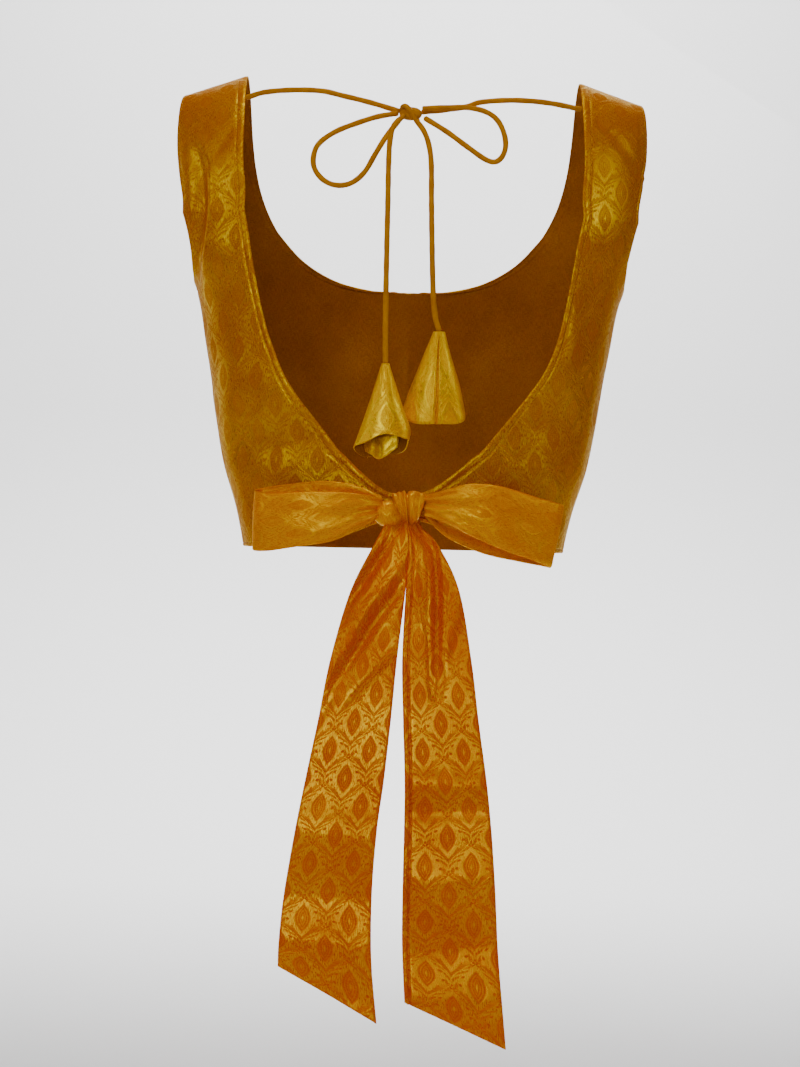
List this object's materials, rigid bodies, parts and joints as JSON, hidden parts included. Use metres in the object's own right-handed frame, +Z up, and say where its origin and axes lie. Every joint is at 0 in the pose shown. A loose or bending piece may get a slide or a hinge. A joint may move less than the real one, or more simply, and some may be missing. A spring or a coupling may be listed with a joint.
{
  "type": "choli blouse",
  "caption": "Sleeveless gold jacquard choli blouse with a deep open back, tied by a wide sash bow at the waist and a thin cord bow with cloth tassels above.",
  "frame": {"origin": "midway between the two shoulder seams, at the height where the straps rest on the shoulders", "axes": "+Z up, +Y out of the back of the blouse where the bow is, +X to the wearer's left"},
  "size_m": [0.3492, 0.2407, 0.7003],
  "materials": {
    "brocade": "shot silk jacquard, satin ground with a duller leaf figure",
    "sash": "shot silk jacquard sash, two layers thick",
    "cord": "plain silk tube cord, soft sheen",
    "tassel": "plain silk cones, soft sheen outside and dull inside"
  },
  "bodies": {
    "root": {"front": "brocade", "back_left": "brocade", "back_right": "brocade", "bow_knot": "sash", "bow_loop_left": "sash", "bow_loop_right": "sash", "tail_left": "sash", "tail_right": "sash", "dori_knot": "cord", "dori_strand_left": "cord", "dori_strand_right": "cord", "dori_bow_left": "cord", "dori_bow_right": "cord", "dori_hang_left": "cord", "dori_hang_right": "cord", "tassel_left": "tassel", "tassel_right": "tassel"}
  },
  "joints": []
}
